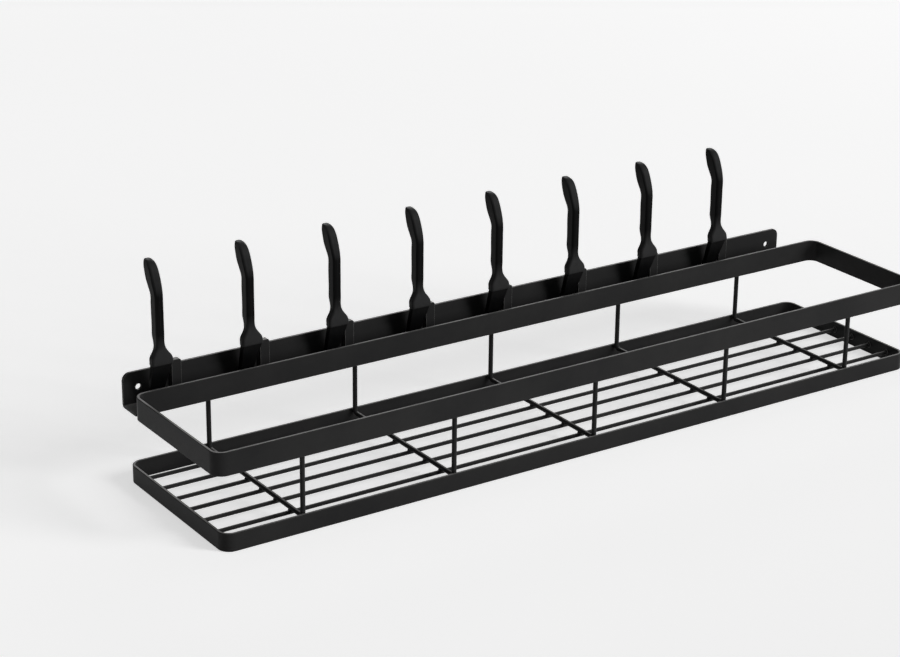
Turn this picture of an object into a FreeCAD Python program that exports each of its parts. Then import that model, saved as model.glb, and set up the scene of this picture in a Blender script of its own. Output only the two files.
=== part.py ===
"""Wall shelf with hooks: a welded strip-and-wire tray under a back rail that carries eight sliding hooks.

Millimetres, +Z up. The wall is the plane Y = 0 and the shelf stands out from it towards -Y.
The origin is midway between the two wall screw holes, on the wall plane.
"""

import FreeCAD, Part
import math
import os

V = FreeCAD.Vector
X_AXIS = V(1, 0, 0)
Y_AXIS = V(0, 1, 0)
Z_AXIS = V(0, 0, 1)

# Flat strip of the two tray frames
strip_thickness = 1.5
frame_corner_radius = 6.0
strip_edge_radius = 0.35
upper_length = 419.0
upper_depth = 81.0
upper_strip_height = 11.5
lower_strip_height = 9.0
lower_end_step = 3.0
tray_gap = 28.5
tray_shift = 7.0

# Back rail: a sheet-metal angle whose web lies on the wall and whose flange carries the upper frame
rail_length = 402.0
rail_sheet = 1.2
rail_channel = 12.5
rail_above_upper = 5.5
rail_bend_radius = 0.6
rail_corner_radius = 4.0
screw_inset = 8.0
screw_below_top = 8.0
screw_hole_radius = 1.5

# Stop lugs: upright ribs on the web that stand a little above its top edge, one beside each hook
lug_width = 5.0
lug_height = 2.2
lug_drop = 14.0
lug_reach = 1.7
lug_corner_radius = 1.2

# Round wire
cradle_wire_diameter = 2.4
floor_wire_diameter = 2.0
floor_wire_count = 6
floor_wire_inset = 12.0
cradle_count = 5
cradle_inset = 42.0
cradle_bend_radius = 2.4
cradle_below_top = 2.0
upright_below_top = 1.5

# Hooks: a low slider in the rail's channel, a leg that widens upwards, a flared foot that leans
# forward over the slider, a straight stem and a rounded tip that leans back
hook_count = 8
hook_inset_left = 15.0
hook_inset_right = 53.0
hook_height = 54.5
hook_to_lug = 4.0
slider_height = 4.0
slider_edge_radius = 0.6
leg_width = 6.4
leg_depth = 2.6
leg_inset = 1.0
foot_width = 11.8
foot_depth = 4.4
foot_rise = 5.7
foot_height = 13.5
foot_lean = 2.5
foot_edge_radius = 0.6
stem_width = 4.4
stem_depth = 6.0
stem_corner_radius = 1.2
bend_start = 38.5
bulge_width = 4.9
bulge_depth = 7.6
tip_setback = 7.9
tip_width = 3.0
tip_depth = 2.6

# Clearances
weld_gap = 0.02
slide_gap = 0.3
tip_wall_gap = 0.5

# Limits: a fillet's most share of its wall, the least straight side between two round
# corners, and how near two places are that count as one
fillet_share = 0.4
least_straight = 0.1
same_place = 1e-6

# Levels, worked out downwards from the rail's top edge
rail_top = screw_below_top
upper_top = rail_top - rail_above_upper
upper_bottom = upper_top - upper_strip_height
lower_top = upper_bottom - tray_gap
lower_bottom = lower_top - lower_strip_height

# The lower frame stops short of the upper one at each end
lower_length = upper_length - 2 * lower_end_step

# Distances from the wall, worked out forwards
web_front = -rail_sheet
bend_outer_radius = rail_bend_radius + rail_sheet
cradle_wire_radius = cradle_wire_diameter / 2
floor_wire_radius = floor_wire_diameter / 2
upright_back = -bend_outer_radius - cradle_wire_radius
upper_back = web_front - rail_channel
upper_front = upper_back - upper_depth
upright_front = upper_front + strip_thickness + weld_gap + cradle_wire_radius
lower_back = upright_back + cradle_wire_radius + weld_gap + strip_thickness
lower_depth = lower_back - upper_front

# Levels of the wires in the lower tray
cradle_level = lower_top - cradle_below_top
floor_wire_level = cradle_level - cradle_wire_radius - floor_wire_radius - weld_gap

# Places along the rail
screw_x = rail_length / 2 - screw_inset
hook_pitch = (rail_length - hook_inset_left - hook_inset_right) / (hook_count - 1)
hook_places = [hook_inset_left - rail_length / 2 + hook_pitch * k for k in range(hook_count)]
lug_offset = foot_width / 2 + hook_to_lug + lug_width / 2

# Levels of a hook, and the stem's distance from the wall, which lets the tip clear it
slider_bottom = upper_bottom + rail_sheet + slide_gap
foot_level = rail_top + foot_rise
stem_level = foot_level + foot_height
bend_level = rail_top + bend_start
tip_level = rail_top + hook_height
stem_y = -(tip_wall_gap + tip_depth / 2 + tip_setback)
foot_y = stem_y - foot_lean

# How the foot changes into the stem as it rises: shares of its height, width, lean and depth
foot_curve = [
    (0.22, 0.13, 0.15, 0.0),
    (0.41, 0.54, 0.36, -0.1),
    (0.59, 0.9, 0.58, -0.1),
    (0.78, 1.0, 0.82, 0.3),
]

# Where the straight stem is held to its section: shares of its length
stem_stations = [0.0, 0.12, 0.5, 0.88, 1.0]

# How the tip leans back, swells and thins as it rises: shares of its height, setback, bulge and thinning
tip_curve = [
    (0.22, 0.14, 0.5, 0.0),
    (0.46, 0.37, 1.0, 0.0),
    (0.66, 0.53, 0.9, 0.0),
    (0.82, 0.67, 0.55, 0.02),
    (0.92, 0.78, 0.3, 0.23),
    (0.97, 0.88, 0.1, 0.5),
    (1.0, 1.0, 0.0, 1.0),
]


def box(x0, x1, y0, y1, z0, z1):
    """A block between two corners, given in any order."""
    corner = V(min(x0, x1), min(y0, y1), min(z0, z1))
    return Part.makeBox(abs(x1 - x0), abs(y1 - y0), abs(z1 - z0), corner)


def rounded_rectangle(x, y, width, depth, radius, z):
    """A level wire: a rectangle centred on x, y with rounded corners."""
    radius = min(radius, (width - least_straight) / 2, (depth - least_straight) / 2)
    half_x = width / 2
    half_y = depth / 2
    edges = []
    for turn in range(4):
        side_x, side_y = (half_x, half_y) if turn % 2 == 0 else (half_y, half_x)
        spin = FreeCAD.Rotation(Z_AXIS, 90 * turn)
        centre = V(x, y, z)
        start = centre + spin.multVec(V(side_x, radius - side_y, 0))
        end = centre + spin.multVec(V(side_x, side_y - radius, 0))
        hub = V(side_x - radius, side_y - radius, 0)
        middle = hub + V(radius, radius, 0) / math.sqrt(2)
        edges.append(Part.LineSegment(start, end).toShape())
        arc_end = centre + spin.multVec(hub + V(0, radius, 0))
        edges.append(Part.Arc(end, centre + spin.multVec(middle), arc_end).toShape())
    return Part.Wire(edges)


def round_bent_path(points, radius):
    """A wire through points, with its inner corners rounded to one radius."""
    edges = []
    start = points[0]
    for before, corner, after in zip(points, points[1:], points[2:]):
        into = (corner - before).normalize()
        out = (after - corner).normalize()
        half_turn = into.getAngle(out) / 2
        setback = radius * math.tan(half_turn)
        first = corner - into * setback
        last = corner + out * setback
        inward = (out - into).normalize()
        middle = corner + inward * radius * (1 / math.cos(half_turn) - 1)
        edges.append(Part.LineSegment(start, first).toShape())
        edges.append(Part.Arc(first, middle, last).toShape())
        start = last
    edges.append(Part.LineSegment(start, points[-1]).toShape())
    return Part.Wire(edges)


def swept(path, profile):
    """A solid bar: a closed profile carried along a path."""
    return path.makePipeShell([profile], True, False)


def round_bar(points, radius, bend_radius_at_corners):
    """A round wire bent through points."""
    path = round_bent_path(points, bend_radius_at_corners)
    circle = Part.Circle(points[0], points[1] - points[0], radius)
    return swept(path, Part.Wire([circle.toShape()]))


def level_edges(solid, *levels):
    """The edges of a solid that lie wholly in one of the given levels."""
    found = []
    for edge in solid.Edges:
        bounds = edge.BoundBox
        flat = bounds.ZLength < same_place
        if flat and any(abs(bounds.ZMin - level) < same_place for level in levels):
            found.append(edge)
    return found


def strip_frame(length, depth, height, back, bottom):
    """A closed loop of flat strip stood on edge, with its long edges eased."""
    x = tray_shift
    y = back - depth / 2
    inner_radius = frame_corner_radius - strip_thickness
    outer = rounded_rectangle(x, y, length, depth, frame_corner_radius, bottom)
    inner_length = length - 2 * strip_thickness
    inner_depth = depth - 2 * strip_thickness
    inner = rounded_rectangle(x, y, inner_length, inner_depth, inner_radius, bottom)
    outer_block = Part.Face(outer).extrude(Z_AXIS * height)
    loop = outer_block.cut(Part.Face(inner).extrude(Z_AXIS * height))
    ease = min(strip_edge_radius, strip_thickness * fillet_share)
    return loop.makeFillet(ease, level_edges(loop, bottom, bottom + height))


def long_edges_at(solid, y, z):
    """The edges of a solid that run along X at the given y and z."""
    found = []
    for edge in level_edges(solid, z):
        bounds = edge.BoundBox
        if bounds.YLength < same_place and abs(bounds.YMin - y) < same_place:
            found.append(edge)
    return found


def extruded_outline(points, length):
    """A solid bar along X with a straight-sided outline, its points given in the first end's plane."""
    outline = Part.makePolygon(points + [points[0]])
    return Part.Face(outline).extrude(X_AXIS * length)


def rail_angle():
    """The bent sheet of the rail: web, bend and the flange that meets the upper frame."""
    x = -rail_length / 2
    flange_top = upper_bottom + rail_sheet
    corners = [
        V(x, 0, rail_top),
        V(x, 0, upper_bottom),
        V(x, upper_back, upper_bottom),
        V(x, upper_back, flange_top),
        V(x, web_front, flange_top),
        V(x, web_front, rail_top),
    ]
    angle = extruded_outline(corners, rail_length)
    angle = angle.makeFillet(bend_outer_radius, long_edges_at(angle, 0, upper_bottom))
    angle = angle.makeFillet(rail_bend_radius, long_edges_at(angle, web_front, flange_top))
    ends = [e for e in level_edges(angle, rail_top) if e.BoundBox.XLength < same_place]
    return angle.makeFillet(rail_corner_radius, ends)


def stop_lug(x):
    """An upright rib on the web with a rounded top, standing a little into the channel."""
    top = rail_top + lug_height
    half = lug_width / 2
    rib = box(x - half, x + half, 0, web_front - lug_reach, rail_top - lug_drop, top)
    corners = [e for e in level_edges(rib, top) if e.BoundBox.XLength < same_place]
    return rib.makeFillet(min(lug_corner_radius, lug_width * fillet_share), corners)


def back_rail():
    """The rail with its stop lugs and wall screw holes."""
    lugs = [stop_lug(x + lug_offset) for x in hook_places]
    holes = []
    for x in (-screw_x, screw_x):
        holes.append(Part.makeCylinder(screw_hole_radius, rail_sheet, V(x, 0, 0), -Y_AXIS))
    return rail_angle().fuse(lugs).cut(holes).removeSplitter()


def floor_wires():
    """Straight wires along the lower tray, end to end between its short sides."""
    half = lower_length / 2 - strip_thickness
    first = lower_back - strip_thickness - floor_wire_inset
    last = lower_back - lower_depth + strip_thickness + floor_wire_inset
    pitch = (last - first) / (floor_wire_count - 1)
    wires = []
    for k in range(floor_wire_count):
        start = V(tray_shift - half, first + pitch * k, floor_wire_level)
        wires.append(Part.makeCylinder(floor_wire_radius, 2 * half, start, X_AXIS))
    return wires


def cradle_wires():
    """Wires bent to a U: down from the rail, over the floor wires and up behind the front strip."""
    pitch = (lower_length - 2 * cradle_inset) / (cradle_count - 1)
    wires = []
    for k in range(cradle_count):
        x = tray_shift - lower_length / 2 + cradle_inset + pitch * k
        points = [
            V(x, upright_back, upper_bottom),
            V(x, upright_back, cradle_level),
            V(x, upright_front, cradle_level),
            V(x, upright_front, upper_top - upright_below_top),
        ]
        wires.append(round_bar(points, cradle_wire_radius, cradle_bend_radius))
    return wires


def hook_slider(x):
    """The slider, as wide as the channel allows, and the leg that carries the foot."""
    half = foot_width / 2
    back = web_front - slide_gap
    front = upper_back + slide_gap
    slider_top = slider_bottom + slider_height
    slider = box(x - half, x + half, back, front, slider_bottom, slider_top)
    slider = slider.makeFillet(min(slider_edge_radius, slider_height * fillet_share), slider.Edges)
    leg_y = back - leg_inset - leg_depth / 2
    base_level = slider_bottom + slider_edge_radius
    base = rounded_rectangle(x, leg_y, leg_width, leg_depth, slider_edge_radius, base_level)
    top_width = foot_width - 2 * foot_edge_radius
    top_depth = foot_depth - 2 * foot_edge_radius
    top_level = foot_level + foot_edge_radius
    top = rounded_rectangle(x, foot_y, top_width, top_depth, slider_edge_radius, top_level)
    return slider.fuse(Part.makeLoft([base, top], True, True))


def hook_sections(x):
    """Level outlines of a hook from the lip of its foot to the top of its tip."""
    sections = [rounded_rectangle(x, foot_y, foot_width, foot_depth, stem_corner_radius, foot_level)]
    for rise, drawn_in, stood_up, deepened in foot_curve:
        width = foot_width + (stem_width - foot_width) * drawn_in
        depth = foot_depth + (stem_depth - foot_depth) * deepened
        y = foot_y + foot_lean * stood_up
        level = foot_level + foot_height * rise
        sections.append(rounded_rectangle(x, y, width, depth, stem_corner_radius, level))
    for share in stem_stations:
        level = stem_level + (bend_level - stem_level) * share
        sections.append(rounded_rectangle(x, stem_y, stem_width, stem_depth, stem_corner_radius, level))
    for rise, set_back, swollen, thinned in tip_curve:
        width = stem_width + (bulge_width - stem_width) * swollen + (tip_width - stem_width) * thinned
        depth = stem_depth + (bulge_depth - stem_depth) * swollen + (tip_depth - stem_depth) * thinned
        y = stem_y + tip_setback * set_back
        level = bend_level + (tip_level - bend_level) * rise
        sections.append(rounded_rectangle(x, y, width, depth, stem_corner_radius, level))
    return sections


def hook(x):
    """One hook in one piece."""
    upright = Part.makeLoft(hook_sections(x), True, False)
    lip = min(foot_edge_radius, foot_depth * fillet_share)
    upright = upright.makeFillet(lip, level_edges(upright, foot_level))
    return hook_slider(x).fuse(upright).removeSplitter()


def write(name, shape):
    """Writes one named piece, as a single solid where it is one."""
    solid = shape.Solids[0] if len(shape.Solids) == 1 else shape
    print(f"{name}: solids {len(shape.Solids)}, valid {shape.isValid()}, volume {shape.Volume:.1f}")
    solid.exportStep(f"parts/{name}.step")


def main():
    os.makedirs("parts", exist_ok=True)
    write("upper_frame", strip_frame(upper_length, upper_depth, upper_strip_height, upper_back, upper_bottom))
    write("lower_frame", strip_frame(lower_length, lower_depth, lower_strip_height, lower_back, lower_bottom))
    write("back_rail", back_rail())
    for number, wire in enumerate(floor_wires(), 1):
        write(f"floor_wire_{number}", wire)
    for number, wire in enumerate(cradle_wires(), 1):
        write(f"cradle_wire_{number}", wire)
    for number, x in enumerate(hook_places, 1):
        write(f"hook_{number}", hook(x))


main()
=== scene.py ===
"""Looks of the wall shelf with hooks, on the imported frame, in a pale studio.

Finishes for the coated steel and the plastic, weld metal, and the hooks' moulding marks.
"""

import math

import bmesh
import bpy
from mathutils import Matrix, Vector
from mathutils.bvhtree import BVHTree


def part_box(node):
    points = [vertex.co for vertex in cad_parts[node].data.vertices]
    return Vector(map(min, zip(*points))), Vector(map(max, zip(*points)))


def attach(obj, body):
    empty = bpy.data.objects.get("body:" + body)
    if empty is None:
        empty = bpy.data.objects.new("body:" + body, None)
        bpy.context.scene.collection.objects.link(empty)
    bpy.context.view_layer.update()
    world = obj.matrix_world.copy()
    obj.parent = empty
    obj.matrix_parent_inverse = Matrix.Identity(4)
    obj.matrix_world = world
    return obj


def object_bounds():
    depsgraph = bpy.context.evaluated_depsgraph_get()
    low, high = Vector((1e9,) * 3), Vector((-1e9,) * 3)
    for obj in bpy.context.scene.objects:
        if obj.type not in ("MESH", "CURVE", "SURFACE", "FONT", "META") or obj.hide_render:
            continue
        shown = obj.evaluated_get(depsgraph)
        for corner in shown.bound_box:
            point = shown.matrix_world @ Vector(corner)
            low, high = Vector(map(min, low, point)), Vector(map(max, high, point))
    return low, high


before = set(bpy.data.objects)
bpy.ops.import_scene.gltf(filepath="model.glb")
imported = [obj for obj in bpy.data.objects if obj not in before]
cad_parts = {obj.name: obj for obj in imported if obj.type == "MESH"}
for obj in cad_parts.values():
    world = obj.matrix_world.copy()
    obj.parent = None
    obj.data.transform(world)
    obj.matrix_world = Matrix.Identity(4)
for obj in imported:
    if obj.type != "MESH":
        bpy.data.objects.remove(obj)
CAD_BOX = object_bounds()
MM = 0.001

# Names of the frame's body and slots, and how the names of like nodes start
SHELF = "shelf"
CRADLES = "cradle_wire_"
FLOOR_WIRES = "floor_wire_"
HOOKS = "hook_"

# Camera: its place in metres, its turns in degrees, and its focal length in pixels of the picture
CAMERA_PLACE = Vector((-0.6377, -0.9240, 0.4219))
CAMERA_YAW = 33.91
CAMERA_PITCH = 21.09
CAMERA_ROLL = -0.62
FOCAL_PIXELS = 2342
IMAGE_WIDTH = 900
SENSOR_WIDTH = 36

# Studio: the floor's half width in metres, its tones and the light added where it is seen,
# the surround, and the point that the lamps face
FLOOR_HALF = 6.0
FLOOR_TONES = (0.83, 0.845)
FLOOR_LIFT = 0.585
SURROUND_COLOUR = (0.89, 0.89, 0.895, 1)
SURROUND_STRENGTH = 0.09
LAMP_TARGET = (0, -0.05, 0)

# Powder coat: its mottled tones, its colour on edges that are partly worn and partly painted
# highlight and under the painted sheen on tops, the width of its thin edges, and the shares of
# its grain in roughness and in height
COAT_TONES = ((0.036, 0.036, 0.0366), (0.048, 0.0475, 0.0472))
COAT_WORN_AND_LIT = (0.4, 0.394, 0.388, 1)
COAT_EDGE = 0.7 * MM
GRAIN_IN_ROUGHNESS = 0.06
GRAIN_IN_HEIGHT = 0.35

# Hook plastic: its mottled tones, its colour under the painted sheen on feet and tops, its colour
# on edges that are partly rubbed and partly painted highlight, the width of those edges, and how
# far its streaks are drawn out along the hook
PLASTIC_TONES = ((0.0045, 0.0045, 0.0048), (0.007, 0.007, 0.0072))
PLASTIC_PAINTED_SHEEN = (0.039, 0.039, 0.0395, 1)
PLASTIC_RUBBED_AND_LIT = (0.045, 0.045, 0.046, 1)
PLASTIC_EDGE = 0.6 * MM
STREAK_SQUEEZE = 0.18

# Levels above the frame's origin between which the painted sheen on a foot comes in and fades out
FOOT_FADE_IN = (13.2 * MM, 14.1 * MM)
FOOT_FADE_OUT = (20.2 * MM, 28.2 * MM)

# Noise values between which a mottled tone changes, and the agreement of the rounded normal
# with the true one at which an edge is full and at which it is gone
MOTTLE_STOPS = (0.3, 0.7)
EDGE_FULL = 0.72
EDGE_GONE = 0.97
EDGE_SAMPLES = 6

# Numbers of a mix node's colour sockets
MIX_FIRST = 6
MIX_SECOND = 7
MIX_RESULT = 2

# Weld beads: the size of a plain bead, its sides and steps, the taper at its tips, its ripples,
# and the share of the smaller waves in an uneven ring
BEAD_RADIUS = 0.55 * MM
BEAD_SIDES = 10
BEAD_STEPS = 12
BEAD_TIP = 0.06
BEAD_BLUNTNESS = 6
RIPPLE_STEPS = 6
RIPPLE_SWELL = 0.09
RIPPLE_PITCH = 1.4 * MM
SMALL_WAVES = 0.6

# Weld collars round wire ends; the bore is a share of the wire's radius
COLLAR_REACH = 0.9 * MM
COLLAR_LENGTH = 1.0 * MM
COLLAR_SIDES = 18
COLLAR_STEPS = 6
COLLAR_WAVER = 0.03
COLLAR_BORE = 0.8
FAR_END_PHASE = 3

# Welds at wire crossings: their corners as signs along x and y, the size of their beads,
# and their reach and half height as shares of the wires' radii
CORNERS = ((-1, -1), (-1, 1), (1, -1), (1, 1))
CROSSING_RADIUS = 0.56 * MM
CROSSING_WAVER = 0.042 * MM
CROSSING_REACH = 0.62
CROSSING_RISE = 0.5

# Welds beside uprights: the distances of their ends from the strips' edges and the upright's top,
# and their place as shares of the wire's and the bead's radius
FOOT_WELD_BOTTOM = 2.2 * MM
FOOT_WELD_TOP = 0.3 * MM
HEAD_WELD_BOTTOM = 0.8 * MM
HEAD_WELD_TOP = 0.5 * MM
UPRIGHT_WELD_SPREAD = 0.72
UPRIGHT_WELD_INSET = 0.45

# Stitches of weld under the rail; their rise is a share of a plain bead's radius
STITCH_COUNT = 7
STITCH_LENGTH = 13 * MM
STITCH_RADIUS = BEAD_RADIUS * 1.3
STITCH_RISE = 0.55
STITCH_RIPPLES = 8

# Parting lines: width and height of the ridge, its outline as shares of both, where it starts as
# a share of the hook's height and ends below the tip, its steps and those over which it fades
SEAM_WIDTH = 0.3 * MM
SEAM_HEIGHT = 0.07 * MM
SEAM_OUTLINE = ((-0.5, -0.4), (-0.22, 0.8), (0, 1), (0.22, 0.8), (0.5, -0.4))
SEAM_START = 0.37
SEAM_END_GAP = 1.2 * MM
SEAM_STEPS = 60
SEAM_FADE_STEPS = 4
RAY_START = 50 * MM

# How deep added metal and plastic are sunk into the surface that they lie on
SINK = 0.05 * MM


def node_tree(name):
    """A new material and its emptied node tree."""
    material = bpy.data.materials.new(name)
    material.use_nodes = True
    tree = material.node_tree
    tree.nodes.clear()
    return material, tree


def add_node(tree, kind, inputs=None, **settings):
    """A node with its settings and input values; an input given as a socket is linked."""
    node = tree.nodes.new(kind)
    for key, value in settings.items():
        setattr(node, key, value)
    for key, value in (inputs or {}).items():
        if isinstance(value, bpy.types.NodeSocket):
            tree.links.new(value, node.inputs[key])
        else:
            node.inputs[key].default_value = value
    return node


def calculate(tree, operation, *values):
    """The result of an operation on numbers or sockets."""
    inputs = dict(enumerate(values))
    return add_node(tree, "ShaderNodeMath", inputs, operation=operation).outputs[0]


def object_place(tree):
    """The object's own coordinates, in metres."""
    return add_node(tree, "ShaderNodeTexCoord").outputs["Object"]


def ramp(tree, source, first, second):
    """A colour ramp over source between two stops of (place, grey or colour)."""
    node = add_node(tree, "ShaderNodeValToRGB", {"Fac": source})
    for element, (place, colour) in zip(node.color_ramp.elements, (first, second)):
        element.position = place
        rgb = (colour,) * 3 if isinstance(colour, float) else colour
        element.color = (*rgb, 1)
    return node.outputs["Color"]


def mottle(tree, source, tones):
    """A tone that changes from the first of two to the second over a noise."""
    return ramp(tree, source, *zip(MOTTLE_STOPS, tones))


def noise(tree, place, scale, detail, roughness=0.5):
    """Noise over coordinates, with scale in features per metre."""
    inputs = {"Vector": place, "Scale": scale, "Detail": detail, "Roughness": roughness}
    return add_node(tree, "ShaderNodeTexNoise", inputs).outputs["Fac"]


def map_range(tree, value, low, high, start=0.0, end=1.0):
    """A value from start to end spread between low and high."""
    inputs = {"Value": value, "From Min": start, "From Max": end, "To Min": low, "To Max": high}
    return add_node(tree, "ShaderNodeMapRange", inputs).outputs["Result"]


def blend(tree, share, first, second):
    """The first colour blended into the second by a share."""
    inputs = {"Factor": share, MIX_FIRST: first, MIX_SECOND: second}
    return add_node(tree, "ShaderNodeMix", inputs, data_type="RGBA").outputs[MIX_RESULT]


def foot_mask(tree, place):
    """White over a hook's foot, fading out towards its stem; it places the foot's painted sheen.
    """
    level = add_node(tree, "ShaderNodeSeparateXYZ", {"Vector": place}).outputs["Z"]
    bottom = map_range(tree, level, 0.0, 1.0, *FOOT_FADE_IN)
    top = map_range(tree, level, 1.0, 0.0, *FOOT_FADE_OUT)
    return calculate(tree, "MULTIPLY", bottom, top)


def edge_mask(tree, radius):
    """White along sharp edges: where a rounded normal leaves the true one."""
    round_normal = add_node(tree, "ShaderNodeBevel", {"Radius": radius}, samples=EDGE_SAMPLES)
    true_normal = add_node(tree, "ShaderNodeNewGeometry")
    pair = {0: round_normal.outputs["Normal"], 1: true_normal.outputs["Normal"]}
    agree = add_node(tree, "ShaderNodeVectorMath", pair, operation="DOT_PRODUCT")
    return ramp(tree, agree.outputs["Value"], (EDGE_FULL, 1.0), (EDGE_GONE, 0.0))


def facing_up(tree, start, end):
    """White on what faces up: black where the normal's rise is at start, white where at end."""
    normal = add_node(tree, "ShaderNodeNewGeometry").outputs["Normal"]
    rise = add_node(tree, "ShaderNodeSeparateXYZ", {"Vector": normal}).outputs["Z"]
    return map_range(tree, rise, 0.0, 1.0, start, end)


def bumps(tree, height, strength, distance):
    """The surface's normal, roughened by a height."""
    inputs = {"Height": height, "Strength": strength, "Distance": distance}
    return add_node(tree, "ShaderNodeBump", inputs).outputs["Normal"]


def end_surface(tree, colour, roughness, specular, normal):
    """Ends a material with a surface of the given look."""
    inputs = {
        "Base Color": colour,
        "Roughness": roughness,
        "Specular IOR Level": specular,
        "Normal": normal,
    }
    shader = add_node(tree, "ShaderNodeBsdfPrincipled", inputs)
    add_node(tree, "ShaderNodeOutputMaterial", {"Surface": shader.outputs[0]})


def powder_coat():
    """Satin black powder coat on steel: orange peel, handling marks, thin edges that are partly
    worn and partly painted highlight, and a painted sheen on tops.
    """
    material, tree = node_tree("black_powder_coat")
    place = object_place(tree)
    peel = noise(tree, place, scale=1900, detail=2)
    grain = noise(tree, place, scale=5200, detail=3)
    smears = noise(tree, place, scale=26, detail=4, roughness=0.62)
    rubs = noise(tree, place, scale=160, detail=5, roughness=0.7)
    # Painted sheen: faces that look up are lightened in patches, standing in for the light that
    # they catch from above.
    top_sheen_patches = map_range(tree, noise(tree, place, scale=90, detail=4), low=0.36, high=0.6)
    # Thin edges are lightened partly as real wear and partly as a painted highlight line.
    worn_and_lit_edges = calculate(tree, "MULTIPLY", edge_mask(tree, COAT_EDGE), rubs)
    painted_top_sheen = calculate(tree, "MULTIPLY", facing_up(tree, start=0.85, end=0.98), top_sheen_patches)
    wear_and_sheen = calculate(tree, "MAXIMUM", worn_and_lit_edges, painted_top_sheen)
    colour = blend(tree, wear_and_sheen, mottle(tree, smears, COAT_TONES), COAT_WORN_AND_LIT)
    gloss = map_range(tree, smears, low=0.28, high=0.36)
    roughness = calculate(tree, "MULTIPLY_ADD", grain, GRAIN_IN_ROUGHNESS, gloss)
    height = calculate(tree, "MULTIPLY_ADD", grain, GRAIN_IN_HEIGHT, peel)
    normal = bumps(tree, height, strength=0.16, distance=0.25 * MM)
    end_surface(tree, colour, roughness, specular=0.032, normal=normal)
    return material


def hook_plastic():
    """Moulded black plastic: fine texture, flow streaks, edges partly rubbed and partly painted
    highlight, and a painted sheen on feet and tops.
    """
    material, tree = node_tree("black_moulded_plastic")
    place = object_place(tree)
    squeeze = {"Vector": place, "Scale": (1, 1, STREAK_SQUEEZE)}
    drawn_out = add_node(tree, "ShaderNodeMapping", squeeze).outputs["Vector"]
    streaks = noise(tree, drawn_out, scale=420, detail=3)
    spark = noise(tree, place, scale=3600, detail=2, roughness=0.6)
    rubs = noise(tree, place, scale=220, detail=4)
    # Painted sheen: the foot and faces that look up are lightened unevenly, standing in for the
    # light that they catch from above.
    sheen_unevenness = map_range(tree, noise(tree, place, scale=300, detail=4), low=0.7, high=1.3)
    # Edges are lightened partly as real rubbing and partly as a painted highlight.
    worn_and_lit_edges = calculate(tree, "MULTIPLY", edge_mask(tree, PLASTIC_EDGE), rubs)
    tops = facing_up(tree, start=0.1, end=0.5)
    sheen_places = calculate(tree, "MAXIMUM", foot_mask(tree, place), tops)
    painted_sheen = calculate(tree, "MULTIPLY", sheen_places, sheen_unevenness)
    body = blend(tree, painted_sheen, mottle(tree, streaks, PLASTIC_TONES), PLASTIC_PAINTED_SHEEN)
    colour = blend(tree, worn_and_lit_edges, body, PLASTIC_RUBBED_AND_LIT)
    roughness = map_range(tree, streaks, low=0.42, high=0.5)
    normal = bumps(tree, spark, strength=0.12, distance=0.2 * MM)
    end_surface(tree, colour, roughness, specular=0.05, normal=normal)
    return material


def floor_paper():
    """Pale matt paper, lifted where it is seen so that it reads as the studio's plain ground."""
    material, tree = node_tree("studio_paper")
    tone = mottle(tree, noise(tree, object_place(tree), scale=3, detail=2), FLOOR_TONES)
    paper = add_node(tree, "ShaderNodeBsdfDiffuse", {"Color": tone, "Roughness": 1.0})
    rays = add_node(tree, "ShaderNodeLightPath")
    seen = rays.outputs["Is Camera Ray"]
    for kind in ("Is Glossy Ray", "Is Transmission Ray"):
        seen = calculate(tree, "MAXIMUM", seen, rays.outputs[kind])
    lift = calculate(tree, "MULTIPLY", seen, FLOOR_LIFT)
    glow = add_node(tree, "ShaderNodeEmission", {"Color": (1, 1, 1, 1), "Strength": lift})
    both = add_node(tree, "ShaderNodeAddShader", {0: paper.outputs[0], 1: glow.outputs[0]})
    add_node(tree, "ShaderNodeOutputMaterial", {"Surface": both.outputs[0]})
    return material


def finish_nodes(coat, plastic):
    """Gives each CAD node its finish."""
    for name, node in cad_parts.items():
        material = plastic if name.startswith(HOOKS) else coat
        node.data.materials.clear()
        node.data.materials.append(material)


def names(start):
    """The names of the frame's nodes that start so, in the frame's order."""
    return [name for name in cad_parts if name.startswith(start)]


def middle_of(node):
    """The middle of a node's box."""
    low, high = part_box(node)
    return (Vector(low) + Vector(high)) / 2


def wire_radius(name):
    """Half of a wire's least extent, which is its thickness."""
    low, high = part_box(name)
    return min(top - bottom for bottom, top in zip(low, high)) / 2


def sides(axis):
    """Two unit vectors square to an axis and to each other."""
    across = axis.orthogonal().normalized()
    return across, axis.cross(across)


def skin(mesh, rings, closed=False):
    """Faces between neighbouring rings of vertices; closed joins the last to the first."""
    pairs = list(zip(rings, rings[1:]))
    if closed:
        pairs.append((rings[-1], rings[0]))
    for lower, upper in pairs:
        count = len(lower)
        for k in range(count):
            after = (k + 1) % count
            mesh.faces.new((lower[k], lower[after], upper[after], upper[k]))


def ring_at(mesh, centre, across, along, radius, count, waver=0.0, phase=0.0):
    """One ring of vertices, whose radius may waver in three large and five small waves."""
    ring = []
    for k in range(count):
        angle = 2 * math.pi * k / count
        large = math.sin(3 * angle + phase)
        small = math.sin(5 * angle + 2 * phase)
        swell = 1 + waver * large + SMALL_WAVES * waver * small
        offset = across * radius * math.cos(angle) + along * radius * math.sin(angle)
        ring.append(mesh.verts.new(centre + offset * swell))
    return ring


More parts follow.
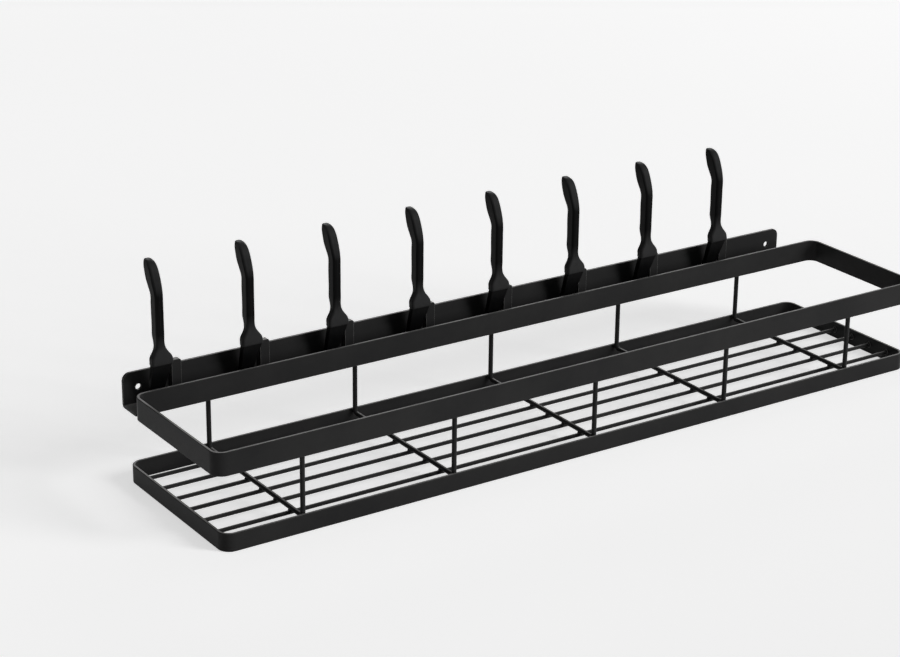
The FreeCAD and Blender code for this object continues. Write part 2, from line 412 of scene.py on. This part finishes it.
def add_bead(mesh, start, end, radius, ripples):
    """A weld bead: a rounded, rippled bar from start to end."""
    across, along = sides((end - start).normalized())
    steps = max(BEAD_STEPS, RIPPLE_STEPS * ripples)
    rings = []
    for k in range(steps + 1):
        share = k / steps
        taper = max(BEAD_TIP, 1 - abs(2 * share - 1) ** BEAD_BLUNTNESS) ** 0.5
        ripple = 1 + RIPPLE_SWELL * math.sin(2 * math.pi * ripples * share)
        centre = start.lerp(end, share)
        rings.append(ring_at(mesh, centre, across, along, radius * taper * ripple, BEAD_SIDES))
    skin(mesh, rings)
    mesh.faces.new(reversed(rings[0]))
    mesh.faces.new(rings[-1])


def add_collar(mesh, centre, away, inner, phase):
    """A hollow fillet of weld metal round a wire where it meets a surface."""
    across, along = sides(away)
    rings = []
    for k in range(COLLAR_STEPS + 1):
        share = k / COLLAR_STEPS
        hollow = 1 - math.sqrt(max(0.0, 1 - (1 - share) ** 2))
        radius = inner + COLLAR_REACH * hollow + SINK
        place = centre + away * COLLAR_LENGTH * share
        ring = ring_at(mesh, place, across, along, radius, COLLAR_SIDES, COLLAR_WAVER, phase)
        rings.append(ring)
    for reach in (COLLAR_LENGTH, 0):
        place = centre + away * reach
        rings.append(ring_at(mesh, place, across, along, inner * COLLAR_BORE, COLLAR_SIDES))
    skin(mesh, rings, closed=True)


def add_piece(name, mesh, body, material):
    """A mesh piece that rides a body of the frame."""
    bmesh.ops.recalc_face_normals(mesh, faces=mesh.faces)
    data = bpy.data.meshes.new(name)
    mesh.to_mesh(data)
    mesh.free()
    for face in data.polygons:
        face.use_smooth = True
    data.materials.append(material)
    piece = bpy.data.objects.new(name, data)
    bpy.context.scene.collection.objects.link(piece)
    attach(piece, body)


def crossing_welds(coat):
    """Weld metal in the crook of each crossing of a floor wire with the cradle wire over it."""
    mesh = bmesh.new()
    for i, cradle in enumerate(names(CRADLES)):
        for j, wire in enumerate(names(FLOOR_WIRES)):
            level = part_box(wire)[1][2]
            place = Vector((middle_of(cradle).x, middle_of(wire).y, level))
            reach = Vector((wire_radius(cradle), wire_radius(wire), 0)) * CROSSING_REACH
            rise = Vector((0, 0, wire_radius(wire) * CROSSING_RISE))
            for side, way in CORNERS:
                corner = place + Vector((side * reach.x, way * reach.y, 0))
                uneven = math.sin(5 * i + 3 * j + side + 2 * way)
                radius = CROSSING_RADIUS + CROSSING_WAVER * uneven
                add_bead(mesh, corner - rise, corner + rise, radius, ripples=1)
    add_piece("crossing_welds", mesh, SHELF, coat)


def wire_end_welds(coat):
    """Collars where floor wires meet the short sides and where back uprights meet the rail."""
    mesh = bmesh.new()
    for j, wire in enumerate(names(FLOOR_WIRES)):
        low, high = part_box(wire)
        centre = middle_of(wire)
        radius = wire_radius(wire)
        near_end = Vector((low[0], centre.y, centre.z))
        far_end = Vector((high[0], centre.y, centre.z))
        add_collar(mesh, near_end, Vector((1, 0, 0)), radius, j)
        add_collar(mesh, far_end, Vector((-1, 0, 0)), radius, j + FAR_END_PHASE)
    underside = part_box("back_rail")[0][2]
    for i, cradle in enumerate(names(CRADLES)):
        radius = wire_radius(cradle)
        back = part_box(cradle)[1][1] - radius
        top_end = Vector((middle_of(cradle).x, back, underside))
        add_collar(mesh, top_end, Vector((0, 0, -1)), radius, 2 * i)
    add_piece("wire_end_welds", mesh, SHELF, coat)


def upright_welds(coat):
    """Beads down both sides of each upright where it lies on a strip's inner face."""
    mesh = bmesh.new()
    lower_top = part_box("lower_frame")[1][2]
    upper_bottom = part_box("upper_frame")[0][2]
    for cradle in names(CRADLES):
        low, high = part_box(cradle)
        spread = wire_radius(cradle) * UPRIGHT_WELD_SPREAD
        inset = BEAD_RADIUS * UPRIGHT_WELD_INSET
        foot = (lower_top - FOOT_WELD_BOTTOM, lower_top - FOOT_WELD_TOP)
        head = (upper_bottom + HEAD_WELD_BOTTOM, high[2] - HEAD_WELD_TOP)
        back_y = high[1] - inset
        front_y = low[1] + inset
        for y, (bottom, top) in ((back_y, foot), (front_y, foot), (front_y, head)):
            ripples = max(1, round((top - bottom) / RIPPLE_PITCH))
            for side in (-1, 1):
                x = middle_of(cradle).x + side * spread
                add_bead(mesh, Vector((x, y, bottom)), Vector((x, y, top)), BEAD_RADIUS, ripples)
    add_piece("upright_welds", mesh, SHELF, coat)


def rail_stitches(coat):
    """Short runs of weld under the rail, where its flange meets the back of the upper frame."""
    mesh = bmesh.new()
    low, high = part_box("back_rail")
    level = low[2] + BEAD_RADIUS * STITCH_RISE
    pitch = (high[0] - low[0]) / STITCH_COUNT
    half = Vector((STITCH_LENGTH / 2, 0, 0))
    for k in range(STITCH_COUNT):
        middle = Vector((low[0] + pitch * (k + 0.5), low[1], level))
        add_bead(mesh, middle - half, middle + half, STITCH_RADIUS, STITCH_RIPPLES)
    add_piece("rail_stitches", mesh, SHELF, coat)


def seam_ring(mesh, spot, out, fade):
    """One ring of a parting line's ridge, which stands out from spot with its sides sunk in."""
    ring = []
    for wide, proud in SEAM_OUTLINE:
        rise = SEAM_HEIGHT * (proud * fade) if proud > 0 else SEAM_HEIGHT * proud - SINK
        ring.append(mesh.verts.new(spot + Vector((wide * SEAM_WIDTH, 0, 0)) + out * rise))
    ring.append(mesh.verts.new(spot - out * 2 * SINK))
    return ring


def add_seam(mesh, name, way):
    """A parting line up a hook: up its front where way is 1, up its back where way is -1."""
    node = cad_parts[name]
    surface = BVHTree.FromObject(node, bpy.context.evaluated_depsgraph_get())
    to_node = node.matrix_world.inverted()
    ray = to_node.to_3x3() @ Vector((0, way, 0))
    out = Vector((0, -way, 0))
    low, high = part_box(name)
    x = middle_of(name).x
    y = low[1] - RAY_START if way > 0 else high[1] + RAY_START
    bottom = low[2] + SEAM_START * (high[2] - low[2])
    top = high[2] - SEAM_END_GAP
    rings = []
    for k in range(SEAM_STEPS + 1):
        z = bottom + (top - bottom) * k / SEAM_STEPS
        hit = surface.ray_cast(to_node @ Vector((x, y, z)), ray)[0]
        if hit is None:
            continue
        fade = min(1, k / SEAM_FADE_STEPS, (SEAM_STEPS - k) / SEAM_FADE_STEPS)
        rings.append(seam_ring(mesh, node.matrix_world @ hit, out, fade))
    skin(mesh, rings)
    mesh.faces.new(rings[0])
    mesh.faces.new(reversed(rings[-1]))


def hook_seams(plastic):
    """The faint parting line that the mould leaves up the front and back of each hook."""
    for name in names(HOOKS):
        mesh = bmesh.new()
        for way in (1, -1):
            add_seam(mesh, name, way)
        add_piece(f"{name}_seam", mesh, name, plastic)


def add_floor():
    """A wide pale sheet at the shelf's lowest level."""
    level = CAD_BOX[0].z
    signs = ((-1, -1), (1, -1), (1, 1), (-1, 1))
    corners = [(x * FLOOR_HALF, y * FLOOR_HALF, level) for x, y in signs]
    mesh = bpy.data.meshes.new("floor")
    mesh.from_pydata(corners, [], [(0, 1, 2, 3)])
    floor = bpy.data.objects.new("floor", mesh)
    bpy.context.scene.collection.objects.link(floor)
    mesh.materials.append(floor_paper())


def add_softbox(name, place, width, height, power):
    """A large soft lamp at place that faces the shelf."""
    lamp = bpy.data.lights.new(name, "AREA")
    lamp.shape = "RECTANGLE"
    lamp.size = width
    lamp.size_y = height
    lamp.energy = power
    box = bpy.data.objects.new(name, lamp)
    bpy.context.scene.collection.objects.link(box)
    box.location = place
    box.rotation_mode = "QUATERNION"
    box.rotation_quaternion = (Vector(LAMP_TARGET) - Vector(place)).to_track_quat("-Z", "Y")


def add_world():
    """An even pale surround."""
    world = bpy.data.worlds.new("studio")
    world.use_nodes = True
    background = world.node_tree.nodes["Background"]
    background.inputs["Color"].default_value = SURROUND_COLOUR
    background.inputs["Strength"].default_value = SURROUND_STRENGTH
    bpy.context.scene.world = world


def add_camera():
    """The camera at the photograph's angle."""
    yaw = math.radians(CAMERA_YAW)
    pitch = math.radians(CAMERA_PITCH)
    flat = math.cos(pitch)
    ahead = Vector((math.sin(yaw) * flat, math.cos(yaw) * flat, -math.sin(pitch)))
    level_right = Vector((math.cos(yaw), -math.sin(yaw), 0))
    right = Matrix.Rotation(math.radians(CAMERA_ROLL), 3, ahead) @ level_right
    up = right.cross(ahead)
    data = bpy.data.cameras.new("camera")
    data.sensor_width = SENSOR_WIDTH
    data.lens = SENSOR_WIDTH * FOCAL_PIXELS / IMAGE_WIDTH
    camera = bpy.data.objects.new("camera", data)
    bpy.context.scene.collection.objects.link(camera)
    turn = Matrix((right, up, -ahead)).transposed().to_4x4()
    camera.matrix_world = Matrix.Translation(CAMERA_PLACE) @ turn
    bpy.context.scene.camera = camera


def add_studio():
    """Floor, surround, lamps and camera."""
    add_floor()
    add_world()
    add_softbox("overhead", (0.2, -0.2, 3.0), width=3.5, height=3.5, power=8)
    add_softbox("back_panel", (1.5, 2.2, 1.1), width=1.6, height=0.6, power=26)
    add_softbox("front_panel", (1.5, -1.9, 1.0), width=0.7, height=2.0, power=34)
    add_camera()
    bpy.context.scene.view_settings.view_transform = "Standard"


coat = powder_coat()
plastic = hook_plastic()
finish_nodes(coat, plastic)
crossing_welds(coat)
wire_end_welds(coat)
upright_welds(coat)
rail_stitches(coat)
hook_seams(plastic)
add_studio()
